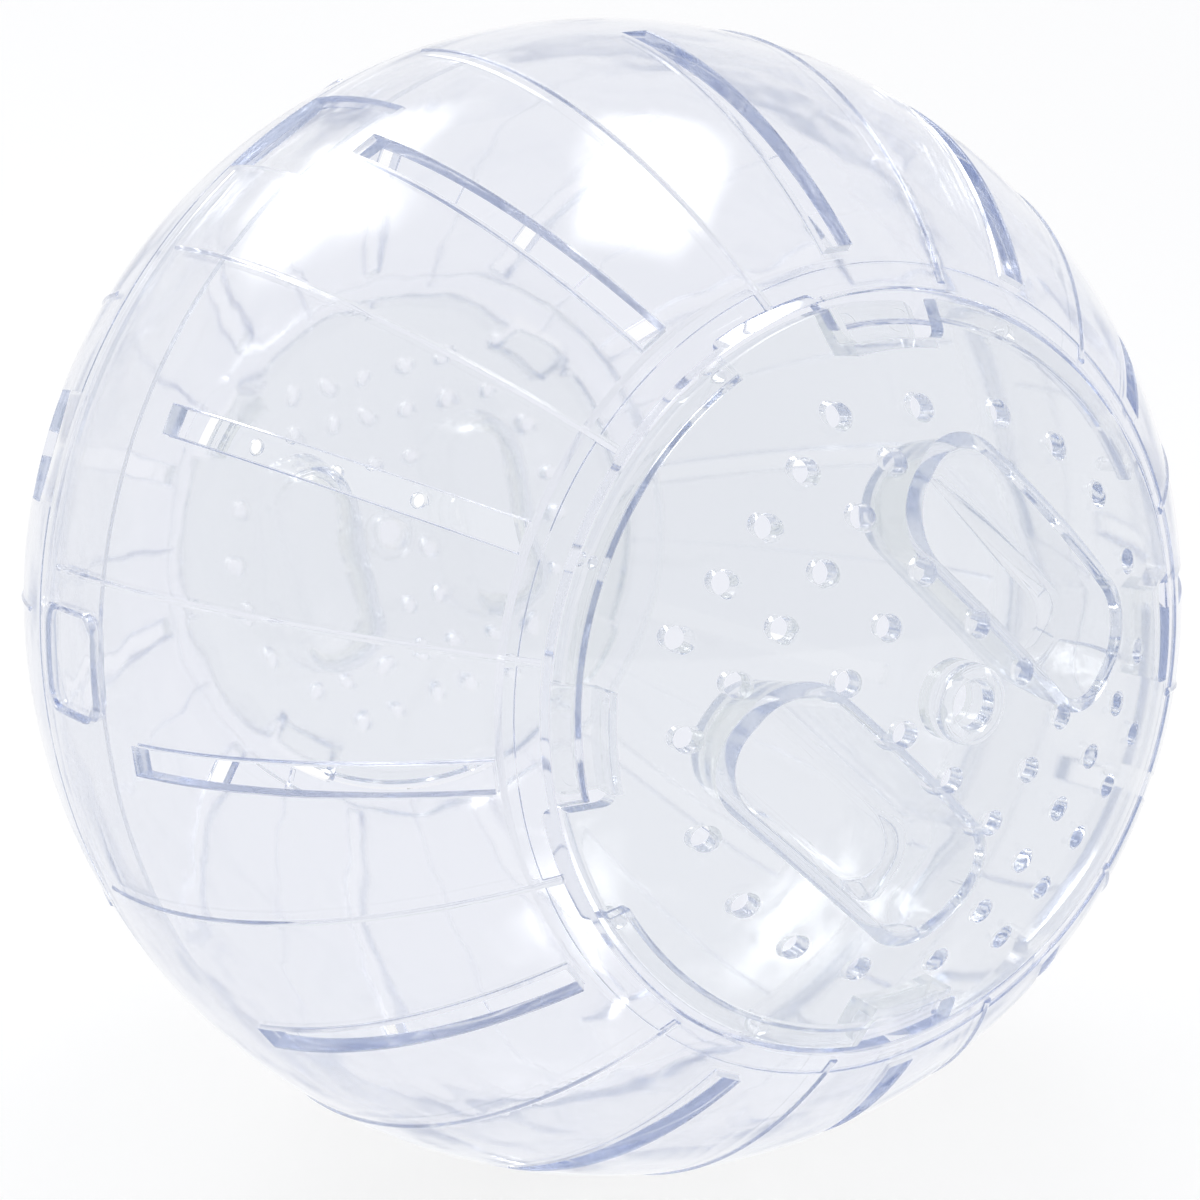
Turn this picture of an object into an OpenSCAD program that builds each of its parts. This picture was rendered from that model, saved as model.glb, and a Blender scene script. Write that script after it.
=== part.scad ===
// Hamster exercise ball
// Two clear moulded half shells snap together at the seam, and a dished door closes each end.
// Each door drops into a ring of notches and turns under a ledge, and it has two grips for finger and thumb.
// Lengths are millimetres and angles are degrees.
// Halves and doors are drawn about their own Z axis, dome upwards, and are then laid along Y.
// The centre of the ball is the origin, the front door faces -Y and +Z is up.

/* [Ball] */
// Outer diameter of the ball over its plain surface
ball_d = 178; // [170:1:190]
// Wall of the two half shells
shell_wall = 2.4; // [2:0.1:3]

/* [Ribs and air slots] */
// Number of air slots in a half, with as many ribs between them
slot_count = 12; // [6:2:12]
// Width of an air slot
slot_w = 3.7; // [3:0.1:4.5]
// Latitude where a slot starts, counted from the seam
slot_low_angle = 17.7; // [17.6:0.1:24]
// Latitude where a slot ends
slot_high_angle = 52.1; // [40:0.1:52.2]
// Width of a rib
rib_w = 1.1; // [0.8:0.1:2]
// Height of a rib above the ball
rib_h = 0.5; // [0.3:0.1:1]
// Latitude where a rib starts
rib_low_angle = 4.5; // [3:0.1:10]
// Latitude where a rib ends
rib_high_angle = 55.5; // [50:0.1:55.8]

/* [Seam] */
// Gap between the edges of the two halves
seam_gap = 0.3; // [0.2:0.05:0.6]
// How far the sleeve of the rear half reaches into the front half
sleeve_depth = 18.4; // [18:0.1:22]
// Wall of the sleeve
sleeve_wall = 1.6; // [1.2:0.1:2]
// Thickness of the sleeve at its tip, where its inner face runs straight
sleeve_tip = 0.8; // [0.5:0.1:1.2]
// Clearance between the sleeve and the front half
sleeve_gap = 0.15; // [0.1:0.05:0.3]
// Height of the band that joins the sleeve to the rear half
sleeve_root = 4; // [3:0.5:8]
// Number of snap windows round the seam
snap_count = 3; // [2:1:3]
// Width of a snap window
window_w = 14.6; // [12:0.1:16]
// Height of a snap window
window_h = 15.6; // [13:0.1:15.6]
// Distance from the seam to a window
window_low = 2.8; // [2:0.1:2.9]
// Corner radius of a window
window_corner = 3; // [2:0.1:5]
// Clearance between a snap lug and its window, all round
snap_gap = 0.5; // [0.3:0.1:1]
// How far the face of a snap lug lies under the ball's surface
snap_sink = 0.5; // [0.3:0.1:1]
// Flat face of a snap lug, before its lead-in slope
snap_land = 5; // [3:0.5:8]
// Width of the notch that a finger nail parts the halves with
pry_w = 16.2; // [12:0.1:18]
// Height of the notch from the seam
pry_h = 25.6; // [18:0.1:26]
// Depth of the notch
pry_depth = 1.4; // [0.8:0.1:1.6]

/* [Door opening] */
// Diameter of the door opening
opening_d = 97.8; // [94:0.2:98]
// Depth of the sunk rim round the opening
rim_sink = 0.3; // [0.2:0.05:0.5]
// Width of the ledge that the door stands on
ledge_w = 4.1; // [3.5:0.1:4.8]
// Thickness of the ledge
ledge_t = 1.8; // [1.4:0.1:2.4]
// Width of the collar where the ledge joins the wall
collar_w = 3.5; // [2.5:0.1:3.6]
// Angle that a notch in the ledge spans
notch_span_angle = 18.8; // [18:0.1:22]
// Diameter of the stops under the ledge
stop_d = 1.9; // [1.5:0.1:2.2]
// Angle from the middle of a notch to the stop beyond the released door
stop_open_angle = 11.3; // [11:0.1:13]
// Angle from the middle of a notch to the stop beyond the locked door
stop_shut_angle = 45; // [44:0.5:50]

/* [Door] */
// Thickness of the door
door_wall = 2; // [1.6:0.1:2.4]
// Clearance round the edge of the door
door_gap = 0.8; // [0.5:0.1:1.2]
// Clearance above and below the ledge
seat_gap = 0.3; // [0.2:0.05:0.5]
// Angle that the door turns from released to the way it stands in the photograph
lock_angle = 18.5; // [12:0.5:20]
// Angle that a cut-out in the door's edge spans
cutout_span_angle = 18.2; // [17:0.1:20]
// Depth of a cut-out from the door's edge
cutout_depth = 4.8; // [4:0.1:5.5]
// Angle that the foot of a hook spans
foot_span_angle = 16.5; // [14:0.1:17]
// Thickness of a foot
foot_t = 1.8; // [1.4:0.1:2.4]
// How far a foot reaches under the ledge
foot_reach = 2.4; // [1.6:0.1:3]
// Corner radius of the notches and cut-outs
hook_corner = 1.5; // [0.8:0.1:2]
// How far the web of a hook stands back from the cut-out
web_set = 0.3; // [0.2:0.1:0.6]
// Thickness of the web that carries a foot
web_t = 1.4; // [1.2:0.1:2.2]

/* [Finger grips] */
// Length of a grip at its mouth
grip_l = 40; // [34:0.5:42]
// Width of a grip at its mouth
grip_w = 15.8; // [14.5:0.1:16.6]
// Distance from the door's centre to the middle of a grip
grip_offset = 18.5; // [18.3:0.1:20]
// Corner radius of a grip at its mouth
grip_corner = 7; // [6:0.1:7.1]
// Depth of the grip's floor below the top of the ball
grip_depth = 16; // [12:0.5:18]
// How much each side of the grip draws in towards its floor
grip_draft = 1.6; // [0.5:0.1:2]
// Wall of a grip
grip_wall = 1.6; // [1.2:0.1:2]

/* [Boss and vents] */
// Diameter of the raised boss in the middle of the door
boss_d = 10; // [9:0.5:12]
// Height of the boss above the door
boss_h = 1; // [0.5:0.1:2]
// Length of the boss below the door
boss_drop = 2; // [1:0.1:4]
// Bore of the boss, for the axle pin of a stand
bore_d = 6; // [4:0.1:7]
// Diameter of a vent hole
vent_d = 2.8; // [2:0.1:3.4]
// Widening of a vent hole at its mouth, each side
vent_flare = 0.4; // [0.2:0.1:0.7]
// Spacing of the vent holes along a row
vent_pitch = 8.2; // [7.6:0.1:8.3]
// Distance of the first rows from the middle of the door
row_1 = 4.9; // [4.5:0.1:6]
// Distance of the second rows
row_2 = 15.1; // [12:0.1:18]
// Distance of the third rows, beyond the ends of the grips
row_3 = 25.1; // [24:0.1:27]
// Distance of the fourth rows
row_4 = 33.3; // [31:0.1:34]
// Distance of the lone holes that end the first rows, beside the grips
side_1 = 35; // [34:0.1:36]
// Distance of the lone holes that end the second rows
side_2 = 32; // [31:0.1:33]

/* [Hidden] */
$fn = 144;
grip_fn = 40;

// Turn of each half about its axis, as the ball lies in the photograph
front_turn = -38;
rear_turn = -27;

overrun = 1;
ball_r = ball_d / 2;
wall_in_r = ball_r - shell_wall;
sleeve_out_r = wall_in_r - sleeve_gap;
sleeve_in_r = sleeve_out_r - sleeve_wall;
slot_step = 360 / slot_count;
snap_step = 360 / snap_count;

// The notches stand in line with slots, and the windows stand clear of ribs and slots
window_turn = 53;
pry_angle = 5.5 * slot_step;
window_angle = pry_angle + window_turn;

open_r = opening_d / 2;
ledge_in_r = open_r - ledge_w;
collar_r = open_r + collar_w;
ledge_top_r = ball_r - door_wall - seat_gap;
ledge_low_r = ledge_top_r - ledge_t;
hook_count = 4;
hook_step = 360 / hook_count;
notch_angle = 2 * slot_step;
hook_angle = hook_step / 2;

door_r = open_r - door_gap;
door_in_r = ball_r - door_wall;
foot_top_r = ledge_low_r - seat_gap;
foot_low_r = foot_top_r - foot_t;
cutout_r = door_r - cutout_depth;
web_out_r = cutout_r - web_set;
web_in_r = web_out_r - web_t;
foot_out_r = ledge_in_r + foot_reach;
stop_r = (ledge_in_r + foot_out_r) / 2;

// The front door stands locked and the rear door stands released
released_turn = notch_angle - hook_angle;
locked_turn = released_turn - lock_angle;

// The hooks fit four ways round, and the rear door went in a quarter turn on from the front door
rear_quarter = hook_step;

grip_floor_z = ball_r - grip_depth;
grip_rim_z = ball_r - door_wall;
grip_slope = grip_draft / (grip_rim_z - grip_floor_z);

glass_tint = "aliceblue";
glass_alpha = 0.5;

// Height on a sphere of radius r above the point that lies at distance x from its axis
function dome_z(r, x) = sqrt(r * r - x * x);

// Places of the vent holes in the quarter of the door where both coordinates are positive or zero
vent_quarter = concat(
    [[row_1, vent_pitch], [row_1, side_1], [row_2, side_2]],
    [for (i = [0:1]) [row_2, i * vent_pitch]],
    [for (i = [0:3]) [row_3, i * vent_pitch]],
    [for (i = [0:2]) [row_4, i * vent_pitch]]
);

// Lays a piece so that its own Z axis points to -Y
module lay_front() {
    rotate([90, 0, 0]) children();
}

// Lays a piece so that its own Z axis points to +Y
module lay_rear() {
    rotate([90, 0, 180]) children();
}

module ring_of(count, first) {
    for (i = [0:count - 1]) rotate(first + i * 360 / count) children();
}

// Section of a domed wall between two radii, from x_in to x_out and above y_low
module dome_section(r_out, r_in, x_in, x_out, y_low = 0) {
    intersection() {
        difference() {
            circle(r = r_out);
            circle(r = r_in);
        }
        translate([x_in, y_low]) square([x_out - x_in, r_out]);
    }
}

// Part of a domed wall that spans an angle, centred on the X axis
module dome_sector(r_out, r_in, x_in, x_out, span) {
    rotate(-span / 2)
        rotate_extrude(angle = span)
            dome_section(r_out, r_in, x_in, x_out);
}

// Flat part of a ring that spans an angle, centred on the X axis
module flat_sector(r_out, r_in, span) {
    reach = 2 * r_out;
    intersection() {
        difference() {
            circle(r = r_out);
            circle(r = r_in);
        }
        polygon([
            [0, 0],
            [reach * cos(span / 2), -reach * sin(span / 2)],
            [reach * cos(span / 2), reach * sin(span / 2)]
        ]);
    }
}

// Flat part of a ring whose two outer corners are round
module round_sector(r_out, r_in, span, corner) {
    corner_r = r_out - corner;
    turn = asin(corner / corner_r);
    flat_sector(corner_r, r_in, span);
    flat_sector(r_out, r_in, span - 2 * turn);
    for (s = [-1, 1])
        rotate(s * (span / 2 - turn))
            translate([corner_r, 0])
                circle(r = corner);
}

// Flat blade that stands in the plane of a meridian, between two radii and two latitudes
module meridian_blade(r_out, r_in, low, high, width) {
    reach = 2 * r_out;
    rotate([90, 0, 0])
        linear_extrude(width, center = true)
            intersection() {
                difference() {
                    circle(r = r_out);
                    circle(r = r_in);
                }
                polygon([
                    [0, 0],
                    [reach * cos(low), reach * sin(low)],
                    [reach * cos(high), reach * sin(high)]
                ]);
            }
}

// Rectangle with round corners, centred
module round_plate(w, h, corner) {
    square([w - 2 * corner, h], center = true);
    square([w, h - 2 * corner], center = true);
    for (x = [-1, 1], y = [-1, 1])
        translate([x * (w / 2 - corner), y * (h / 2 - corner)]) circle(r = corner);
}

// Wall, collar and ledge of a half
module half_wall() {
    rotate_extrude() {
        dome_section(ball_r, wall_in_r, collar_r, ball_r, seam_gap / 2);
        dome_section(ledge_top_r, ledge_low_r, ledge_in_r, collar_r);
        dome_section(ball_r - rim_sink, ledge_low_r, open_r, collar_r);
    }
}

module ribs() {
    ring_of(slot_count, 0)
        meridian_blade(ball_r + rib_h, ball_r - shell_wall / 2, rib_low_angle, rib_high_angle, rib_w);
}

module slots() {
    ring_of(slot_count, slot_step / 2)
        meridian_blade(ball_r + overrun, wall_in_r - overrun, slot_low_angle, slot_high_angle, slot_w);
}

// Gaps in the ledge that the hooks of the door drop through
module ledge_notches() {
    low_z = dome_z(ledge_low_r, open_r) - overrun;
    high_z = dome_z(ledge_top_r, ledge_in_r) + overrun;
    ring_of(hook_count, notch_angle)
        translate([0, 0, low_z])
            linear_extrude(high_z - low_z)
                round_sector(open_r, ledge_in_r - overrun, notch_span_angle, hook_corner);
}

// Stops under the ledge, two for each hook
module ledge_stops() {
    top_z = dome_z((ledge_top_r + ledge_low_r) / 2, stop_r);
    low_z = dome_z(foot_low_r, stop_r);
    for (a = [stop_open_angle, -stop_shut_angle])
        ring_of(hook_count, notch_angle + a)
            translate([stop_r, 0, low_z])
                cylinder(d = stop_d, h = top_z - low_z);
}

// Shallow notches at the seam, each in line with a slot
module pry_notches() {
    difference() {
        ring_of(snap_count, pry_angle)
            translate([wall_in_r / 2, -pry_w / 2, -overrun])
                cube([wall_in_r / 2 + shell_wall + overrun, pry_w, pry_h + overrun]);
        sphere(r = ball_r - pry_depth);
    }
}

// What the two halves share
module half_common() {
    difference() {
        union() {
            half_wall();
            ribs();
        }
        slots();
        ledge_notches();
        pry_notches();
    }
    ledge_stops();
}

module snap_windows() {
    ring_of(snap_count, window_angle)
        translate([wall_in_r - sleeve_depth / 2, 0, window_low + window_h / 2])
            rotate([90, 0, 90])
                linear_extrude(sleeve_depth)
                    round_plate(window_w, window_h, window_corner);
}

// Lugs on the sleeve, each with a catch face towards the seam and a slope that leads it in
module snap_lugs() {
    low_z = window_low + snap_gap;
    high_z = window_low + window_h - snap_gap;
    lug_w = window_w - 2 * snap_gap;
    intersection() {
        ring_of(snap_count, window_angle)
            rotate([90, 0, 0])
                linear_extrude(lug_w, center = true)
                    polygon([
                        [0, low_z],
                        [ball_r, low_z],
                        [ball_r, low_z + snap_land],
                        [dome_z(sleeve_out_r, high_z), high_z],
                        [0, high_z]
                    ]);
        difference() {
            sphere(r = ball_r - snap_sink);
            sphere(r = sleeve_out_r - sleeve_wall / 2);
        }
    }
}

// Sleeve of the rear half, which reaches below the seam plane
module sleeve() {
    tip_x = dome_z(sleeve_out_r, sleeve_depth) - sleeve_tip;
    rotate_extrude() {
        intersection() {
            difference() {
                circle(r = sleeve_out_r);
                circle(r = sleeve_in_r);
            }
            translate([tip_x, -sleeve_depth]) square([ball_r - tip_x, sleeve_depth + sleeve_root]);
        }
        intersection() {
            difference() {
                circle(r = ball_r - shell_wall / 2);
                circle(r = sleeve_in_r);
            }
            translate([0, seam_gap / 2]) square([ball_r, sleeve_root - seam_gap / 2]);
        }
    }
}

// Vent hole with a flared mouth, at x and y from the middle of the door
module vent(x, y) {
    top_z = dome_z(ball_r, norm([x, y]));
    low_z = dome_z(door_in_r, norm([x, y])) - overrun;
    translate([x, y, low_z]) cylinder(d = vent_d, h = top_z - low_z);
    translate([x, y, top_z - vent_flare])
        cylinder(d1 = vent_d, d2 = vent_d + 4 * vent_flare, h = 2 * vent_flare);
}

module vents() {
    for (p = vent_quarter)
        for (sx = [-1, 1], sy = p[1] > 0 ? [-1, 1] : [1])
            vent(sx * p[0], sy * p[1]);
}

// Tapered well of a grip from low_z upwards, grown by extra on every side
module grip_well(extra, low_z) {
    high_z = ball_r + overrun;
    low_r = grip_corner + extra - grip_slope * (grip_rim_z - low_z);
    high_r = grip_corner + extra + grip_slope * (high_z - grip_rim_z);
    translate([0, 0, low_z])
        hull()
            for (x = [-1, 1], y = [-1, 1])
                translate([x * (grip_l / 2 - grip_corner), y * (grip_w / 2 - grip_corner), 0])
                    cylinder(h = high_z - low_z, r1 = low_r, r2 = high_r, $fn = grip_fn);
}

// One hook: a web that goes down inside the ledge and a foot that turns under it
module hook() {
    dome_sector(foot_top_r, foot_low_r, web_in_r, foot_out_r, foot_span_angle);
    dome_sector(ball_r - door_wall / 2, foot_low_r, web_in_r, web_out_r, foot_span_angle);
}

// Openings in the door's edge above the feet, with round inner corners
module cutouts() {
    high_r = ball_r + overrun;
    low_r = door_in_r - overrun;
    corner_r = cutout_r + hook_corner;
    turn = asin(hook_corner / corner_r);
    low_z = dome_z(door_in_r, open_r);
    ring_of(hook_count, hook_angle) {
        dome_sector(high_r, low_r, corner_r, open_r, cutout_span_angle);
        dome_sector(high_r, low_r, cutout_r, open_r, cutout_span_angle - 2 * turn);
        for (s = [-1, 1])
            rotate(s * (cutout_span_angle / 2 - turn))
                translate([corner_r, 0, low_z])
                    cylinder(r = hook_corner, h = ball_r - low_z);
    }
}

module door() {
    difference() {
        union() {
            rotate_extrude() dome_section(ball_r, door_in_r, 0, door_r);
            intersection() {
                for (s = [-1, 1])
                    translate([0, s * grip_offset, 0]) grip_well(grip_wall, grip_floor_z - grip_wall);
                sphere(r = ball_r - door_wall / 2);
            }
            translate([0, 0, door_in_r - boss_drop])
                cylinder(d = boss_d, h = door_wall + boss_drop + boss_h);
        }
        for (s = [-1, 1])
            translate([0, s * grip_offset, 0]) grip_well(0, grip_floor_z);
        vents();
        cutouts();
        translate([0, 0, door_in_r - boss_drop - overrun])
            cylinder(d = bore_d, h = door_wall + boss_drop + boss_h + 2 * overrun);
    }
    ring_of(hook_count, hook_angle) hook();
}

module front_half() {
    color(glass_tint, glass_alpha)
        lay_front()
            rotate(front_turn)
                difference() {
                    half_common();
                    snap_windows();
                }
}

module rear_half() {
    color(glass_tint, glass_alpha) {
        lay_rear()
            rotate(rear_turn) {
                half_common();
                sleeve();
            }
        lay_front()
            rotate(front_turn)
                snap_lugs();
    }
}

module front_door() {
    color(glass_tint, glass_alpha)
        lay_front()
            rotate(front_turn + locked_turn)
                door();
}

module rear_door() {
    color(glass_tint, glass_alpha)
        lay_rear()
            rotate(rear_turn + released_turn + rear_quarter)
                door();
}

front_half();
rear_half();
front_door();
rear_door();
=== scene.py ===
import math

import bmesh
import bpy
from mathutils import Matrix, Vector


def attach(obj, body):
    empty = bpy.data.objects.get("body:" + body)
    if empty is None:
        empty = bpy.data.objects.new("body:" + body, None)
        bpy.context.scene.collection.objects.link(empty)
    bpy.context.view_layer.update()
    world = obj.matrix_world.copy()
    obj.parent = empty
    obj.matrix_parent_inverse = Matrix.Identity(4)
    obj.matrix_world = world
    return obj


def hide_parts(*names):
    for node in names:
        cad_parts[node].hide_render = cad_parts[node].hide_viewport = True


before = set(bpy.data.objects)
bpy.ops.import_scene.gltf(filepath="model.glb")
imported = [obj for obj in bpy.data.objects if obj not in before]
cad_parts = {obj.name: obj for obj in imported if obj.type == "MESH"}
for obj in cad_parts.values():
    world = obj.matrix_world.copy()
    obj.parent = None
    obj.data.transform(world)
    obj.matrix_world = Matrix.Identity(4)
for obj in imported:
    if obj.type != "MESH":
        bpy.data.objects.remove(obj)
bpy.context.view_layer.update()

mm = 0.001
fullTurn = 2 * math.pi
quarter = math.radians(90)


# pieces are drawn in millimetres about Z with the dome upwards, and laid along Y at the end
def domeZ(r, x, y=0.0):
    return math.sqrt(max(r * r - x * x - y * y, 0.0))


def arcPoints(r, start, end, steps):
    points = []
    for i in range(steps + 1):
        angle = math.radians(start + (end - start) * i / steps)
        points.append((r * math.cos(angle), r * math.sin(angle)))
    return points


def latOf(r, x):
    # latitude at which a dome of radius r is x away from the axis
    return math.degrees(math.acos(x / r))


def riseLat(r, z):
    # latitude at which a dome of radius r is z above the middle of the ball
    return math.degrees(math.asin(z / r))


def drawOutline(bm, points, rounded=None, segments=3):
    # a closed outline in the XZ plane, where rounded gives some corners a radius
    verts = [bm.verts.new((x, 0, z)) for x, z in points]
    for i in range(len(verts)):
        bm.edges.new((verts[i - 1], verts[i]))
    for index, radius in (rounded or {}).items():
        bmesh.ops.bevel(bm, geom=[verts[index]], offset=radius, offset_type="OFFSET", affect="VERTICES",
                        segments=segments, profile=0.5, material=-1)
    return bm.verts[:] + bm.edges[:]


def fillHoles(bm):
    bmesh.ops.holes_fill(bm, edges=[e for e in bm.edges if e.is_boundary], sides=0)


def splitBigFaces(bm):
    bmesh.ops.triangulate(bm, faces=[f for f in bm.faces if len(f.verts) > 4])


def closeUp(bm):
    bmesh.ops.remove_doubles(bm, verts=bm.verts, dist=0.0005)
    bmesh.ops.recalc_face_normals(bm, faces=bm.faces)


def turnAll(bm, angle, axis="Z"):
    bmesh.ops.rotate(bm, verts=bm.verts, cent=(0, 0, 0), matrix=Matrix.Rotation(angle, 3, axis))


def spunRing(points, rounded=None, steps=288):
    # full turn of a closed section
    bm = bmesh.new()
    section = drawOutline(bm, points, rounded)
    bmesh.ops.spin(bm, geom=section, cent=(0, 0, 0), axis=(0, 0, 1), angle=fullTurn, steps=steps,
                   use_merge=True)
    closeUp(bm)
    return bm


def spunSector(points, span, corner, cornerPick):
    # part of a turn with closed ends, and round upright corners where cornerPick says so
    bm = bmesh.new()
    section = drawOutline(bm, points)
    turnAll(bm, math.radians(-span / 2))
    bmesh.ops.spin(bm, geom=section, cent=(0, 0, 0), axis=(0, 0, 1), angle=math.radians(span), steps=12)
    fillHoles(bm)
    closeUp(bm)
    edges = [e for e in bm.edges if cornerPick(e)]
    bmesh.ops.bevel(bm, geom=edges, offset=corner, affect="EDGES", segments=5, profile=0.5, material=-1)
    closeUp(bm)
    return bm


def isUprightCorner(edge, rise, inner, outer, span):
    # true for a steep edge between two radii at either end of a sector
    if abs(edge.verts[0].co.z - edge.verts[1].co.z) <= rise:
        return False
    for v in edge.verts:
        r = math.hypot(v.co.x, v.co.y)
        turn = abs(math.degrees(math.atan2(v.co.y, v.co.x)))
        if not inner < r < outer or turn <= span / 2 - 0.05:
            return False
    return True


def spunBlade(section, low, high, steps):
    # a section of (across, radius) swept along a meridian
    bm = bmesh.new()
    verts = [bm.verts.new((r, across, 0)) for across, r in section]
    edges = [bm.edges.new((verts[i - 1], verts[i])) for i in range(len(verts))]
    turnAll(bm, math.radians(-low), "Y")
    bmesh.ops.spin(bm, geom=verts + edges, cent=(0, 0, 0), axis=(0, 1, 0), angle=math.radians(low - high),
                   steps=steps)
    fillHoles(bm)
    closeUp(bm)
    return bm


def plug(w, h, corner, levels, seat, segments=6, isDisc=False):
    # a rounded rectangle or disc, lofted upwards
    # levels are pairs of a level and how much the outline has grown there, and seat gives the height
    bm = bmesh.new()
    if isDisc:
        bmesh.ops.create_circle(bm, cap_ends=False, radius=w / 2, segments=segments)
    else:
        bmesh.ops.create_grid(bm, x_segments=1, y_segments=1, size=0.5,
                              matrix=Matrix.Diagonal((w, h, 1, 1)))
        bmesh.ops.bevel(bm, geom=bm.verts[:], offset=corner, offset_type="OFFSET", affect="VERTICES",
                        segments=segments, profile=0.5, material=-1)
        bmesh.ops.delete(bm, geom=bm.faces[:], context="FACES_ONLY")
        longEdges = [e for e in bm.edges if e.calc_length() > 2 * corner]
        if longEdges:
            bmesh.ops.subdivide_edges(bm, edges=longEdges, cuts=10, use_grid_fill=False)
    flat = {v: v.co.copy() for v in bm.verts}
    ring = bm.edges[:]
    for number, (level, grow) in enumerate(levels):
        verts = bm.verts[:]
        if number:
            made = bmesh.ops.extrude_edge_only(bm, edges=ring)["geom"]
            verts = [g for g in made if isinstance(g, bmesh.types.BMVert)]
            # each new corner takes the flat place of the one below it
            below = {}
            for v in verts:
                for e in v.link_edges:
                    other = e.other_vert(v)
                    if other in flat and other not in verts:
                        below[v] = flat[other]
            flat.update(below)
            sides = [g for g in made if isinstance(g, bmesh.types.BMEdge)]
            ring = [e for e in sides if all(v in below for v in e.verts)]
        for v in verts:
            x = flat[v].x * (w + 2 * grow) / w
            y = flat[v].y * (h + 2 * grow) / h
            v.co = (x, y, seat(x, y, level))
    fillHoles(bm)
    splitBigFaces(bm)
    closeUp(bm)
    return bm


def meshFrom(bm, name):
    mesh = bpy.data.meshes.new(name)
    bm.to_mesh(mesh)
    bm.free()
    return mesh


def pieceFrom(mesh, name):
    piece = bpy.data.objects.new(name, mesh)
    bpy.context.scene.collection.objects.link(piece)
    return piece


def addTo(bm, other):
    # moves what another bmesh holds into this one
    step = meshFrom(other, "step")
    bm.from_mesh(step)
    bpy.data.meshes.remove(step)


def ringCopies(mesh, count, first=0.0):
    # one mesh that repeats another round Z
    bm = bmesh.new()
    for i in range(count):
        copy = bmesh.new()
        copy.from_mesh(mesh)
        turnAll(copy, math.radians(first) + fullTurn * i / count)
        addTo(bm, copy)
    return meshFrom(bm, mesh.name + "Ring")


def cutAndJoin(base, work):
    # work is a list of ("DIFFERENCE" or "UNION", mesh)
    for kind, mesh in work:
        tool = pieceFrom(mesh, "tool")
        change = base.modifiers.new("step", "BOOLEAN")
        change.operation = kind
        change.solver = "MANIFOLD"
        change.object = tool
        depsgraph = bpy.context.evaluated_depsgraph_get()
        result = bpy.data.meshes.new_from_object(base.evaluated_get(depsgraph))
        base.modifiers.remove(change)
        old = base.data
        base.data = result
        bpy.data.meshes.remove(old)
        bpy.data.objects.remove(tool)
        bpy.data.meshes.remove(mesh)


# millimetres and degrees
# the two half shells share their moulding, but only the rear one has a sleeve and lugs
ball = {
    "radius": 89.0, "wall": 2.4, "seamGap": 0.3, "seamRound": 0.3,
    "openR": 48.9, "rimSink": 0.3, "rimRound": 0.12, "collarW": 3.5,
    "ledgeW": 4.1, "ledgeT": 1.8, "ledgeRound": 0.4, "seatGap": 0.3, "doorWall": 2.0,
    "slots": 12, "slotW": 3.7, "slotLow": 17.7, "slotHigh": 52.1, "slotFirst": 15, "mouthRound": 0.35,
    "ribW": 1.1, "ribH": 0.3, "ribSink": 0.03, "ribLow": 4.5, "ribHigh": 55.5,
    "pries": 3, "pryFirst": 165, "pryW": 16.2, "pryH": 25.6, "pryDepth": 1.4, "pryLow": -1.0,
    "windows": 3, "windowFirst": 218, "windowW": 14.6, "windowH": 15.6, "windowLow": 2.8,
    "windowCorner": 3.0,
    "windowStraight": 0.4, "windowChamfer": 0.12,
    "sleeveDepth": 18.4, "sleeveWall": 1.6, "sleeveTip": 0.45, "sleeveGap": 0.15, "sleeveRoot": 4.0,
    "sleeveRise": 1.0, "tipRound": 0.08,
    "lugGap": 0.5, "lugSink": 0.5, "lugRoot": 0.8, "lugBevel": 0.3, "lugBevelRise": 0.25,
    "notches": 4, "notchFirst": 60, "notchSpan": 18.8, "notchCorner": 1.5,
    "stopD": 1.9, "stopOpen": 11.3, "stopShut": 45.0, "stopRound": 0.3,
    "footT": 1.8, "footOut": 47.2,
    "frontTurn": -38.0, "rearTurn": -27.0,
}
ballR = ball["radius"]
wallIn = ballR - ball["wall"]
ledgeTop = ballR - ball["doorWall"] - ball["seatGap"]
ledgeLow = ledgeTop - ball["ledgeT"]
ledgeIn = ball["openR"] - ball["ledgeW"]
collarR = ball["openR"] + ball["collarW"]
sleeveOut = wallIn - ball["sleeveGap"]
sleeveIn = sleeveOut - ball["sleeveWall"]
footTop = ledgeLow - ball["seatGap"]
footLow = footTop - ball["footT"]
footOut = ball["footOut"]
over = 1.0
slack = 0.01


def layFront(turn):
    return Matrix.Rotation(quarter, 4, "X") @ Matrix.Rotation(math.radians(turn), 4, "Z")


def layRear(turn):
    return Matrix.Rotation(math.pi, 4, "Z") @ layFront(turn)


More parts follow.
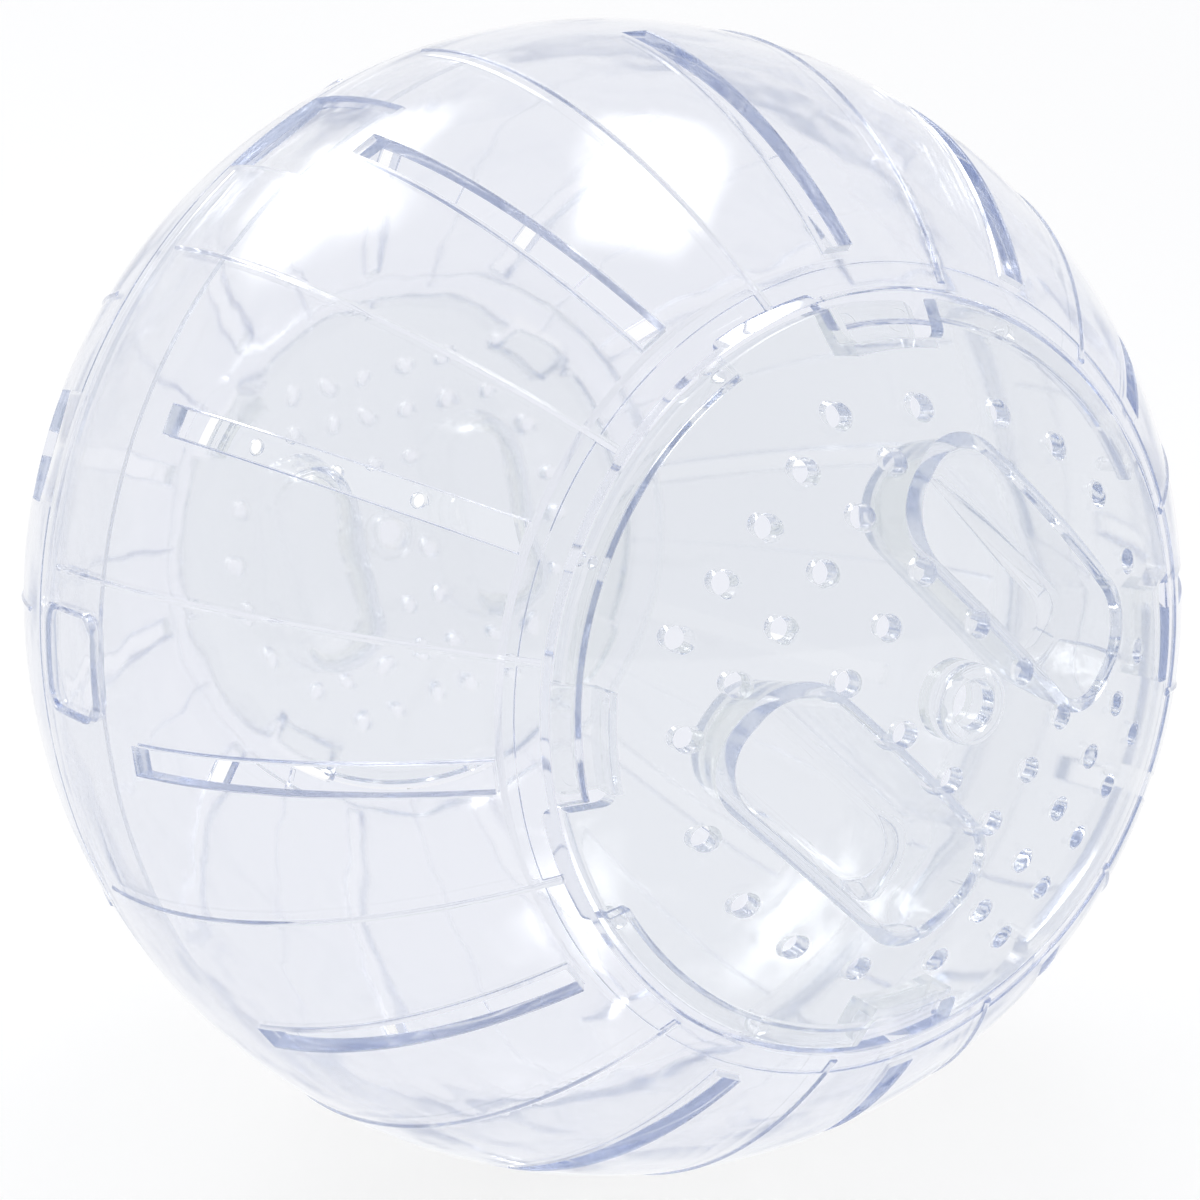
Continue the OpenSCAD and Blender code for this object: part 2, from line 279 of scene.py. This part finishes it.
def halfSection(withSleeve):
    low = ball["seamGap"] / 2
    rimR = ballR - ball["rimSink"]
    outer = arcPoints(ballR, riseLat(ballR, low), latOf(ballR, collarR), 40)
    rim = arcPoints(rimR, latOf(rimR, collarR), latOf(rimR, ball["openR"]), 5)
    ledgeUp = arcPoints(ledgeTop, latOf(ledgeTop, ball["openR"]), latOf(ledgeTop, ledgeIn), 4)
    ledgeDown = arcPoints(ledgeLow, latOf(ledgeLow, ledgeIn), latOf(ledgeLow, collarR), 6)
    points = outer + rim + ledgeUp + ledgeDown
    rimEnd = len(outer) + len(rim) - 1
    ledgeEnd = rimEnd + len(ledgeUp)
    rounded = {0: ball["seamRound"], len(outer) - 1: ball["rimRound"]}
    for corner in (rimEnd, ledgeEnd, ledgeEnd + 1):
        rounded[corner] = ball["ledgeRound"]
    if not withSleeve:
        return points + arcPoints(wallIn, latOf(wallIn, collarR), riseLat(wallIn, low), 40), rounded
    # the sleeve is thick at its root only, and ends in a thin lip that shows as a fine line
    lipIn = sleeveOut - ball["sleeveTip"]
    root, tip = ball["sleeveRoot"], -ball["sleeveDepth"]
    points += arcPoints(wallIn, latOf(wallIn, collarR), riseLat(wallIn, root), 36)
    points += arcPoints(sleeveIn, riseLat(sleeveIn, root), riseLat(sleeveIn, -ball["sleeveRise"]), 6)
    points += arcPoints(lipIn, riseLat(lipIn, -root), riseLat(lipIn, tip), 12)
    rounded[len(points) - 1] = ball["tipRound"]
    rounded[len(points)] = ball["tipRound"]
    points += arcPoints(sleeveOut, riseLat(sleeveOut, tip), riseLat(sleeveOut, low), 12)
    return points, rounded


def makeRib():
    # a soft swelling, not a square bar
    half = ball["ribW"] / 2
    steps = 8
    section = [(half, ballR - over)]
    for i in range(steps + 1):
        across = ball["ribW"] * (0.5 - i / steps)
        swell = ball["ribH"] * math.cos(math.pi * across / ball["ribW"]) ** 2
        section.append((across, ballR - ball["ribSink"] + swell))
    section.append((-half, ballR - over))
    return meshFrom(spunBlade(section, ball["ribLow"], ball["ribHigh"], 40), "rib")


def makeSlot():
    # an air slot with rounded mouths on both faces
    q = ball["mouthRound"]
    half = ball["slotW"] / 2
    spread = half + q / 2 + over / 2
    angles = [math.radians(a) for a in (60, 40, 20, 0)]
    side = [(spread, ballR + over)]
    side += [(half + q * (1 - math.cos(a)), ballR - q + q * math.sin(a)) for a in angles]
    side += [(half + q * (1 - math.cos(a)), wallIn + q - q * math.sin(a)) for a in reversed(angles)]
    side.append((spread, wallIn - over))
    section = side + [(-across, r) for across, r in reversed(side)]
    return meshFrom(spunBlade(section, ball["slotLow"], ball["slotHigh"], 28), "slot")


def makeNotch():
    # the way through the ledge for a foot of the door
    inner, outer = ledgeIn - over, ball["openR"]
    section = [(inner, domeZ(ledgeLow, ledgeIn) - 2.5 * over), (outer, domeZ(ledgeLow, outer) - 1.5 * over),
               (outer, domeZ(ledgeTop, outer) + 0.6 * over), (inner, domeZ(ledgeTop, inner) + 1.5 * over)]

    def pick(edge):
        return isUprightCorner(edge, 2, outer - slack, outer + slack, ball["notchSpan"])

    return meshFrom(spunSector(section, ball["notchSpan"], ball["notchCorner"], pick), "notch")


def makePry():
    # a shallow hollow at the seam, where the halves are prised apart
    floorR = ballR - ball["pryDepth"]
    floor = arcPoints(floorR, ball["pryLow"], riseLat(floorR, ball["pryH"]), 10)
    outside = ballR + 2 * over
    bm = bmesh.new()
    drawOutline(bm, floor + [(outside, ball["pryH"]), (outside, floor[0][1])])
    bmesh.ops.translate(bm, verts=bm.verts, vec=(0, -ball["pryW"] / 2, 0))
    face = bmesh.ops.contextual_create(bm, geom=bm.edges[:])["faces"]
    pushed = bmesh.ops.extrude_face_region(bm, geom=face)["geom"]
    far = [g for g in pushed if isinstance(g, bmesh.types.BMVert)]
    bmesh.ops.translate(bm, verts=far, vec=(0, ball["pryW"], 0))
    splitBigFaces(bm)
    closeUp(bm)
    return meshFrom(bm, "pry")


def makeStop():
    # a peg under the ledge that ends the door's turn
    stopR = (ledgeIn + footOut) / 2
    top, low = domeZ((ledgeTop + ledgeLow) / 2, stopR), domeZ(footLow, stopR)
    bm = bmesh.new()
    r = ball["stopD"] / 2
    bmesh.ops.create_cone(bm, cap_ends=True, segments=20, radius1=r, radius2=r, depth=top - low,
                          matrix=Matrix.Translation((stopR, 0, (top + low) / 2)))
    rim = [e for e in bm.edges if all(v.co.z < low + slack for v in e.verts)]
    bmesh.ops.bevel(bm, geom=rim, offset=ball["stopRound"], affect="EDGES", segments=3, profile=0.5,
                    material=-1)
    return meshFrom(bm, "stop")


def makeSidePlug(w, h, corner, levels, name):
    # a ring of rounded rectangles that point out of the ball's side, where the snap windows are
    middle = ball["windowLow"] + ball["windowH"] / 2
    bm = plug(w, h, corner, levels, lambda x, y, r: domeZ(r, x, y + middle), segments=5)
    sideways = Matrix(((0, 0, 1, 0), (1, 0, 0, 0), (0, 1, 0, middle), (0, 0, 0, 1)))
    bmesh.ops.transform(bm, matrix=sideways, verts=bm.verts)
    return ringCopies(meshFrom(bm, name), ball["windows"], ball["windowFirst"])


def makeLugs():
    # the lugs belong to the rear half, but they sit in the front half's windows
    top = ballR - ball["lugSink"]
    levels = [(sleeveOut - ball["lugRoot"], 0), (top - ball["lugBevelRise"], 0), (top, -ball["lugBevel"])]
    gap = ball["lugGap"]
    w, h = ball["windowW"] - 2 * gap, ball["windowH"] - 2 * gap
    lugs = makeSidePlug(w, h, ball["windowCorner"] - gap, levels, "lug")
    lugs.transform(layRear(ball["rearTurn"]).inverted() @ layFront(ball["frontTurn"]))
    return lugs


def makeWindows():
    chamfer = ball["windowChamfer"]
    levels = [(sleeveOut - 3 * over, 0), (ballR - ball["windowStraight"], 0), (ballR - chamfer, chamfer),
              (ballR + over, over)]
    return makeSidePlug(ball["windowW"], ball["windowH"], ball["windowCorner"], levels, "window")


def makeHalf(name, withSleeve):
    points, rounded = halfSection(withSleeve)
    base = pieceFrom(meshFrom(spunRing(points, rounded), name), name)
    stop = makeStop()
    notchFirst = ball["notchFirst"]
    work = [("UNION", ringCopies(makeRib(), ball["slots"])),
            ("DIFFERENCE", ringCopies(makeSlot(), ball["slots"], ball["slotFirst"])),
            ("DIFFERENCE", ringCopies(makeNotch(), ball["notches"], notchFirst)),
            ("DIFFERENCE", ringCopies(makePry(), ball["pries"], ball["pryFirst"])),
            ("UNION", ringCopies(stop, ball["notches"], notchFirst + ball["stopOpen"])),
            ("UNION", ringCopies(stop, ball["notches"], notchFirst - ball["stopShut"]))]
    work.append(("UNION", makeLugs()) if withSleeve else ("DIFFERENCE", makeWindows()))
    cutAndJoin(base, work)
    return base


# millimetres and degrees, and both doors are the same moulding
door = {
    "edgeR": 48.1, "wall": 2.0, "edgeRoundOut": 0.4, "edgeRoundIn": 0.35,
    "bossR": 5.0, "bossH": 1.0, "bossDrop": 2.0, "bossRound": 0.35, "boreR": 3.0,
    "gripL": 40.0, "gripW": 15.8, "gripOff": 18.5, "gripCorner": 7.0, "gripFloor": 73.0, "gripWall": 1.6,
    "gripDraft": 1.6, "gripBrim": 79.0, "mouthChamfer": 0.3, "mouthRise": 0.5, "floorRound": 2.6,
    "ventD": 2.9, "ventFlare": 0.25,
    # each row of vents is its distance from the middle, and the places along it
    "rows": [(4.9, [8.2, 35.0]), (15.1, [0, 8.2, 32.0]),
             (25.1, [0, 8.2, 16.4, 24.6]), (33.3, [0, 8.2, 16.4])],
    "hooks": 4, "hookFirst": 45, "cutSpan": 18.2, "cutDepth": 4.8, "cutCorner": 1.5,
    "webT": 1.4, "webSet": 0.3,
    "footSpan": 16.5, "footCorner": 1.5, "footBevel": 0.25,
    "pinD": 2.8, "pinR": 45.1, "pinTurn": 5.2, "pinDepth": 0.12,
    "frontTurn": -41.5, "rearTurn": 78.0,
}
plateIn = ballR - door["wall"]
cutIn = door["edgeR"] - door["cutDepth"]


def makePlate(name):
    bossTop = ballR + door["bossH"]
    bossLow = plateIn - door["bossDrop"]
    outer = arcPoints(ballR, latOf(ballR, door["bossR"]), latOf(ballR, door["edgeR"]), 32)
    inner = arcPoints(plateIn, latOf(plateIn, door["edgeR"]), latOf(plateIn, door["bossR"]), 32)
    boss = [(door["boreR"], bossLow), (door["boreR"], bossTop), (door["bossR"], bossTop)]
    edge = len(boss) + len(outer) - 1
    rounded = {1: door["bossRound"], 2: door["bossRound"],
               edge: door["edgeRoundOut"], edge + 1: door["edgeRoundIn"]}
    points = boss + outer + inner + [(door["bossR"], bossLow)]
    return pieceFrom(meshFrom(spunRing(points, rounded, 192), name), name)


def roundFloor(z, grow):
    # levels of a well's floor, which rises into the wall in a quarter circle
    r = door["floorRound"]
    angles = [math.radians(a) for a in range(0, 91, 15)]
    return [(z + r * (1 - math.cos(a)), grow - r * (1 - math.sin(a))) for a in angles]


def gripGrow(z):
    # how much narrower than its mouth a grip is at a height
    return -door["gripDraft"] / (plateIn - door["gripFloor"]) * (plateIn - z)


def gripSeat(x, y, level):
    # levels up to the brim are flat heights, and those above it are radii of the ball
    return level if level <= door["gripBrim"] else domeZ(level, x, y + door["gripOff"])


def makeGrips():
    # each finger grip is a body to join and a well to cut
    floorZ, wall, brim, chamfer = door["gripFloor"], door["gripWall"], door["gripBrim"], door["mouthChamfer"]
    body = roundFloor(floorZ - wall, gripGrow(floorZ) + wall)
    body += [(brim, gripGrow(brim) + wall), (ballR - door["wall"] / 2, wall)]
    well = roundFloor(floorZ, gripGrow(floorZ))
    well += [(brim, gripGrow(brim)), (ballR - door["mouthRise"], 0), (ballR, chamfer),
             (ballR + over, 3 * chamfer)]
    work = []
    for turn in (0, math.pi):
        for kind, levels in (("UNION", body), ("DIFFERENCE", well)):
            bm = plug(door["gripL"], door["gripW"], door["gripCorner"], levels, gripSeat, segments=22)
            bmesh.ops.translate(bm, verts=bm.verts, vec=(0, door["gripOff"], 0))
            if turn:
                turnAll(bm, turn)
            work.append((kind, meshFrom(bm, "grip")))
    return work


def makeVents():
    flare = door["ventFlare"]
    levels = [(plateIn - 1.2 * over, 0), (ballR - flare * 2, 0), (ballR, flare), (ballR + over, flare * 3)]
    bm = bmesh.new()
    for row, places in door["rows"]:
        for place in places:
            for x in (row, -row):
                for y in ((place, -place) if place else (place,)):
                    vent = plug(door["ventD"], door["ventD"], 0, levels,
                                lambda px, py, r: domeZ(r, x + px, y + py), segments=28, isDisc=True)
                    bmesh.ops.translate(vent, verts=vent.verts, vec=(x, y, 0))
                    addTo(bm, vent)
    return meshFrom(bm, "vents")


def makeHookCut():
    # the cut-out in the door's edge above a hook
    top = domeZ(ballR, cutIn)
    outside = door["edgeR"] + over
    section = [(cutIn, top - 6 * over), (cutIn, top + 2 * over),
               (outside, top + 2 * over), (outside, top - 8 * over)]

    def pick(edge):
        return isUprightCorner(edge, 4, 0, cutIn + slack, door["cutSpan"])

    return meshFrom(spunSector(section, door["cutSpan"], door["cutCorner"], pick), "cut")


def makeHook():
    # a web that hangs from the plate, and the foot that it carries under the ledge
    webOut = cutIn - door["webSet"]
    webIn = webOut - door["webT"]
    webTop = ballR - door["wall"] / 2
    section = [(webIn, domeZ(footLow, webIn)), (footOut, domeZ(footLow, footOut)),
               (footOut, domeZ(footTop, footOut)), (webOut, domeZ(footTop, webOut)),
               (webOut, domeZ(webTop, webOut)), (webIn, domeZ(webTop, webIn))]

    def pick(edge):
        return isUprightCorner(edge, 0.5, footOut - slack, footOut + slack, door["footSpan"])

    bm = spunSector(section, door["footSpan"], door["footCorner"], pick)
    brim = [e for e in bm.edges if len(e.link_faces) == 2 and e.calc_face_angle() > 1
            and all(math.hypot(v.co.x, v.co.y) > webOut + 0.5 for v in e.verts)]
    bmesh.ops.bevel(bm, geom=brim, offset=door["footBevel"], affect="EDGES", segments=2, profile=0.5,
                    material=-1)
    closeUp(bm)
    return meshFrom(bm, "hook")


def makePinMark():
    # the round mark that an ejector pin left on a foot
    bm = bmesh.new()
    middle = footTop - door["pinDepth"] + over / 2
    r = door["pinD"] / 2
    bmesh.ops.create_cone(bm, cap_ends=True, segments=24, radius1=r, radius2=r, depth=over,
                          matrix=Matrix.Translation((0, 0, middle)))
    turnAll(bm, math.asin(door["pinR"] / footTop), "Y")
    return meshFrom(bm, "pin")


def makeDoor(name):
    base = makePlate(name)
    hooks, first = door["hooks"], door["hookFirst"]
    work = makeGrips()
    work.append(("DIFFERENCE", makeVents()))
    work.append(("DIFFERENCE", ringCopies(makeHookCut(), hooks, first)))
    work.append(("UNION", ringCopies(makeHook(), hooks, first)))
    for turn in (door["pinTurn"], -door["pinTurn"]):
        work.append(("DIFFERENCE", ringCopies(makePinMark(), hooks, first + turn)))
    cutAndJoin(base, work)
    return base


# the angle past which an edge is crisp
# it is smaller where a chamfer meets the dome, or the chamfer's shading would spread over the dome
crisp = {"edge": math.radians(34), "dome": math.radians(20), "near": 0.02}
domeRadii = (ballR, wallIn, plateIn)


def isOnDome(edge):
    for r in domeRadii:
        if all(abs(v.co.length - r * mm) < crisp["near"] * mm for v in edge.verts):
            return True
    return False


def finishPiece(piece, lay, body, node, material):
    piece.data.transform(Matrix.Scale(mm, 4) @ lay)
    bm = bmesh.new()
    bm.from_mesh(piece.data)
    bmesh.ops.remove_doubles(bm, verts=bm.verts, dist=0.002 * mm)
    for f in bm.faces:
        f.smooth = True
    for e in bm.edges:
        if len(e.link_faces) == 2:
            e.smooth = e.calc_face_angle() < crisp["dome" if isOnDome(e) else "edge"]
    bm.to_mesh(piece.data)
    bm.free()
    weigh = piece.modifiers.new("even shading", "WEIGHTED_NORMAL")
    weigh.keep_sharp = True
    piece.data.materials.clear()
    piece.data.materials.append(material)
    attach(piece, body)
    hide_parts(node)


def hexColour(code):
    def part(c):
        c /= 255
        return c / 12.92 if c <= 0.04045 else ((c + 0.055) / 1.055) ** 2.4
    return tuple(part(int(code[i:i + 2], 16)) for i in (1, 3, 5)) + (1.0,)


def addNode(tree, kind, place, settings=None, links=None):
    node = tree.nodes.new(kind)
    node.location = place
    for key, value in (settings or {}).items():
        if isinstance(key, str) and hasattr(node, key):
            setattr(node, key, value)
        else:
            node.inputs[key].default_value = value
    for key, source in (links or {}).items():
        tree.links.new(source, node.inputs[key])
    return node


def emptyTree(owner):
    owner.use_nodes = True
    owner.node_tree.nodes.clear()
    return owner.node_tree


# millimetres
# the halves are wavy as they came from the mould, and the doors are flatter and a touch greyer
halfLook = {"tint": "#fefefe", "waveSize": 16.7, "waveDepth": 0.48}
doorLook = {"tint": "#f9faf9", "waveSize": 20.0, "waveDepth": 0.11}
# both have the faint haze of a mould that isn't mirror bright, worn a little more in small patches
styrene = {"ior": 1.5, "haze": 0.055, "wornHaze": 0.105, "wearSize": 4.2,
           "edgeBlue": "#7096d2", "blueDensity": 5.2}


def clearStyrene(name, look):
    # clear injection-moulded polystyrene
    # glossy, almost colourless, and blue where an edge is seen lengthwise
    material = bpy.data.materials.new(name)
    tree = emptyTree(material)
    place = addNode(tree, "ShaderNodeTexCoord", (-1300, 0)).outputs["Object"]
    flow = addNode(tree, "ShaderNodeTexNoise", (-1000, 0),
                   {"Scale": 1 / (look["waveSize"] * mm), "Detail": 1.5, "Roughness": 0.4}, {"Vector": place})
    wave = addNode(tree, "ShaderNodeBump", (-500, -200),
                   {"Strength": 1.0, "Distance": look["waveDepth"] * mm}, {"Height": flow.outputs["Fac"]})
    wear = addNode(tree, "ShaderNodeTexNoise", (-1000, 300),
                   {"Scale": 1 / (styrene["wearSize"] * mm), "Detail": 5.0, "Roughness": 0.6},
                   {"Vector": place})
    haze = addNode(tree, "ShaderNodeMapRange", (-700, 300),
                   {"From Min": 0.62, "From Max": 0.85,
                    "To Min": styrene["haze"], "To Max": styrene["wornHaze"]}, {"Value": wear.outputs["Fac"]})
    shell = addNode(tree, "ShaderNodeBsdfPrincipled", (-100, 0),
                    {"Base Color": hexColour(look["tint"]), "IOR": styrene["ior"],
                     "Transmission Weight": 1.0},
                    {"Normal": wave.outputs["Normal"], "Roughness": haze.outputs["Result"]})
    depth = addNode(tree, "ShaderNodeVolumeAbsorption", (-100, -400),
                    {"Color": hexColour(styrene["edgeBlue"]), "Density": styrene["blueDensity"]})
    addNode(tree, "ShaderNodeOutputMaterial", (250, 0), {},
            {"Surface": shell.outputs["BSDF"], "Volume": depth.outputs["Volume"]})
    return material


halfPlastic = clearStyrene("clearStyreneHalf", halfLook)
doorPlastic = clearStyrene("clearStyreneDoor", doorLook)

print("making the half shells")
frontHalf = makeHalf("frontHalfShell", False)
finishPiece(frontHalf, layFront(ball["frontTurn"]), "ball", "front_half", halfPlastic)
rearHalf = makeHalf("rearHalfShell", True)
finishPiece(rearHalf, layRear(ball["rearTurn"]), "ball", "rear_half", halfPlastic)
print("making the doors")
frontDoor = makeDoor("frontDoorPlate")
rearDoor = pieceFrom(frontDoor.data.copy(), "rearDoorPlate")
finishPiece(frontDoor, layFront(door["frontTurn"]), "front_door", "front_door", doorPlastic)
finishPiece(rearDoor, layRear(door["rearTurn"]), "rear_door", "rear_door", doorPlastic)
for piece in (frontHalf, rearHalf, frontDoor, rearDoor):
    print(piece.name, len(piece.data.polygons), "faces")

# the paper seen through the plastic is a touch greyer than the white that the camera sees
paper = {"colour": "#fafafb", "seen": "#f0f2f9", "glowShare": 0.85}


def lightPathMax(tree, place, outputs):
    # 1 for the kinds of ray that are named, and 0 for the others
    path = addNode(tree, "ShaderNodeLightPath", place)
    total = path.outputs[outputs[0]]
    for step, name in enumerate(outputs[1:]):
        most = addNode(tree, "ShaderNodeMath", (place[0] + 200 * (step + 1), place[1]),
                       {"operation": "MAXIMUM"}, {0: total, 1: path.outputs[name]})
        total = most.outputs[0]
    return total


def whiteOrSeen(tree, place):
    # white, or the greyer paper for a ray that the plastic has bent
    bent = lightPathMax(tree, (place[0] - 300, place[1]), ["Is Transmission Ray"])
    hue = addNode(tree, "ShaderNodeMixRGB", place, {1: hexColour("#ffffff"), 2: hexColour(paper["seen"])},
                  {0: bent})
    return hue.outputs[0]


def stageFloor():
    # paper that lies under the ball and rises behind it, in metres
    floorZ = -ballR * mm
    width, front, bend, back, top = 6.0, -3.0, 1.2, 2.2, 4.0
    bm = bmesh.new()
    profile = [(front, floorZ), (bend, floorZ), (back, floorZ + 1.0), (back, top)]
    verts = [bm.verts.new((-width / 2, y, z)) for y, z in profile]
    for i in range(3):
        bm.edges.new((verts[i], verts[i + 1]))
    bmesh.ops.bevel(bm, geom=verts[1:3], offset=0.9, affect="VERTICES", segments=12, profile=0.5, material=-1)
    made = bmesh.ops.extrude_edge_only(bm, edges=bm.edges[:])["geom"]
    far = [g for g in made if isinstance(g, bmesh.types.BMVert)]
    bmesh.ops.translate(bm, verts=far, vec=(width, 0, 0))
    bmesh.ops.recalc_face_normals(bm, faces=bm.faces)
    floor = pieceFrom(meshFrom(bm, "studioFloor"), "studioFloor")
    floor.data.shade_smooth()
    material = bpy.data.materials.new("studioPaper")
    tree = emptyTree(material)
    plain = addNode(tree, "ShaderNodeBsdfDiffuse", (0, 0), {"Color": hexColour(paper["colour"])})
    white = addNode(tree, "ShaderNodeEmission", (0, -200), {"Strength": 1.0},
                    {"Color": whiteOrSeen(tree, (-300, -200))})
    # the camera still sees the ball's shadow, but what is mirrored or bent shows the paper alone
    direct = lightPathMax(tree, (-900, 500), ["Is Camera Ray"])
    through = lightPathMax(tree, (-900, 300), ["Is Glossy Ray", "Is Transmission Ray"])
    share = addNode(tree, "ShaderNodeMath", (0, 300),
                    {"operation": "MULTIPLY_ADD", 1: paper["glowShare"]}, {0: direct, 2: through})
    both = addNode(tree, "ShaderNodeMixShader", (250, 0), {},
                   {0: share.outputs[0], 1: plain.outputs["BSDF"], 2: white.outputs["Emission"]})
    addNode(tree, "ShaderNodeOutputMaterial", (450, 0), {}, {"Surface": both.outputs["Shader"]})
    floor.data.materials.append(material)


def softBox(name, place, width, height, strength):
    # a glowing panel that fades towards its edges, so that its reflection has no hard outline
    bm = bmesh.new()
    bmesh.ops.create_grid(bm, x_segments=1, y_segments=1, size=0.5,
                          matrix=Matrix.Diagonal((width, height, 1, 1)))
    panel = pieceFrom(meshFrom(bm, name), name)
    panel.location = place
    panel.rotation_euler = (-Vector(place)).to_track_quat("Z", "Y").to_euler()
    glow = bpy.data.materials.new(name + "Glow")
    tree = emptyTree(glow)
    where = addNode(tree, "ShaderNodeTexCoord", (-1300, 0))
    apart = addNode(tree, "ShaderNodeSeparateXYZ", (-1100, 0), {}, {0: where.outputs["Object"]})
    fades = []
    for axis, reach in (("X", width / 2), ("Y", height / 2)):
        away = addNode(tree, "ShaderNodeMath", (-900, 200 * len(fades)),
                       {"operation": "ABSOLUTE"}, {0: apart.outputs[axis]})
        fade = addNode(tree, "ShaderNodeMapRange", (-700, 200 * len(fades)),
                       {"interpolation_type": "SMOOTHSTEP", "From Min": reach, "From Max": reach * 0.35,
                        "To Min": 0.0, "To Max": 1.0}, {"Value": away.outputs[0]})
        fades.append(fade.outputs["Result"])
    level = addNode(tree, "ShaderNodeMath", (-500, 0), {"operation": "MULTIPLY"},
                    {0: fades[0], 1: fades[1]})
    power = addNode(tree, "ShaderNodeMath", (-300, 0), {"operation": "MULTIPLY", 1: strength},
                    {0: level.outputs[0]})
    light = addNode(tree, "ShaderNodeEmission", (-100, 0), {"Color": hexColour("#ffffff")},
                    {"Strength": power.outputs[0]})
    clear = addNode(tree, "ShaderNodeBsdfTransparent", (-100, 200))
    both = addNode(tree, "ShaderNodeAddShader", (100, 0), {},
                   {0: clear.outputs["BSDF"], 1: light.outputs["Emission"]})
    addNode(tree, "ShaderNodeOutputMaterial", (300, 0), {}, {"Surface": both.outputs["Shader"]})
    glow.cycles.emission_sampling = "NONE"
    panel.data.materials.append(glow)


# degrees for the angles, millimetres for the lens, and the rest in radii of the ball
shot = {"azimuth": -29.55, "elevation": 9.58, "distance": 3.3878, "aimRight": -0.0043, "aimUp": -0.0052,
        "lens": 56.24, "film": 36}


def aimCamera():
    azimuth, elevation = math.radians(shot["azimuth"]), math.radians(shot["elevation"])
    back = Vector((math.sin(azimuth) * math.cos(elevation), -math.cos(azimuth) * math.cos(elevation),
                   math.sin(elevation)))
    right = Vector((math.cos(azimuth), math.sin(azimuth), 0))
    up = back.cross(right)
    aim = right * shot["aimRight"] + up * shot["aimUp"]
    data = bpy.data.cameras.new("photoCamera")
    data.lens = shot["lens"]
    data.sensor_width = shot["film"]
    data.clip_start = 0.01
    camera = bpy.data.objects.new("photoCamera", data)
    place = (back * shot["distance"] + aim) * ballR * mm
    camera.matrix_world = Matrix.Translation(place) @ Matrix((right, up, back)).transposed().to_4x4()
    bpy.context.scene.collection.objects.link(camera)
    bpy.context.scene.camera = camera


# the room is white behind the ball and greyer behind the photographer, which shows in reflections only
room = {"bright": "#ffffff", "dim": "#7e848f", "dimWay": (-0.493, -0.870, 0.0), "lighting": "#eef1f8"}


def studioWorld():
    world = bpy.data.worlds.new("studioWorld")
    bpy.context.scene.world = world
    tree = emptyTree(world)
    world.cycles.sampling_method = "NONE"
    way = addNode(tree, "ShaderNodeTexCoord", (-1300, 0))
    facing = addNode(tree, "ShaderNodeVectorMath", (-1100, 0),
                     {"operation": "DOT_PRODUCT", 1: room["dimWay"]}, {0: way.outputs["Generated"]})
    shade = addNode(tree, "ShaderNodeMapRange", (-900, 0),
                    {"interpolation_type": "SMOOTHSTEP", "From Min": -0.2, "From Max": 0.9},
                    {"Value": facing.outputs["Value"]})
    walls = addNode(tree, "ShaderNodeMixRGB", (-700, 0),
                    {1: hexColour(room["bright"]), 2: hexColour(room["dim"])}, {0: shade.outputs["Result"]})
    mirrored = addNode(tree, "ShaderNodeBackground", (-500, 0), {"Strength": 1.0},
                       {"Color": walls.outputs[0]})
    lighting = addNode(tree, "ShaderNodeBackground", (-500, -200),
                       {"Color": hexColour(room["lighting"]), "Strength": 1.0})
    white = addNode(tree, "ShaderNodeBackground", (-500, 200), {"Strength": 1.0},
                    {"Color": whiteOrSeen(tree, (-700, 200))})
    glossy = lightPathMax(tree, (-900, -500), ["Is Glossy Ray"])
    straight = lightPathMax(tree, (-900, 500), ["Is Camera Ray", "Is Transmission Ray"])
    first = addNode(tree, "ShaderNodeMixShader", (-200, 0), {},
                    {0: glossy, 1: lighting.outputs[0], 2: mirrored.outputs[0]})
    last = addNode(tree, "ShaderNodeMixShader", (0, 0), {},
                   {0: straight, 1: first.outputs[0], 2: white.outputs[0]})
    addNode(tree, "ShaderNodeOutputWorld", (200, 0), {}, {"Surface": last.outputs[0]})


print("setting the stage")
stageFloor()
softBox("windowLeft", (-0.35, 0.66, 0.95), 0.8, 0.6, 5.0)
softBox("skyAbove", (0.10, -0.07, 1.25), 0.9, 0.5, 5.0)
aimCamera()
studioWorld()

scene = bpy.context.scene
scene.view_settings.view_transform = "Standard"
# light that is caught in the walls must find its way out, or the edges turn grey
scene.cycles.max_bounces = 160
scene.cycles.transmission_bounces = 160
scene.cycles.glossy_bounces = 160
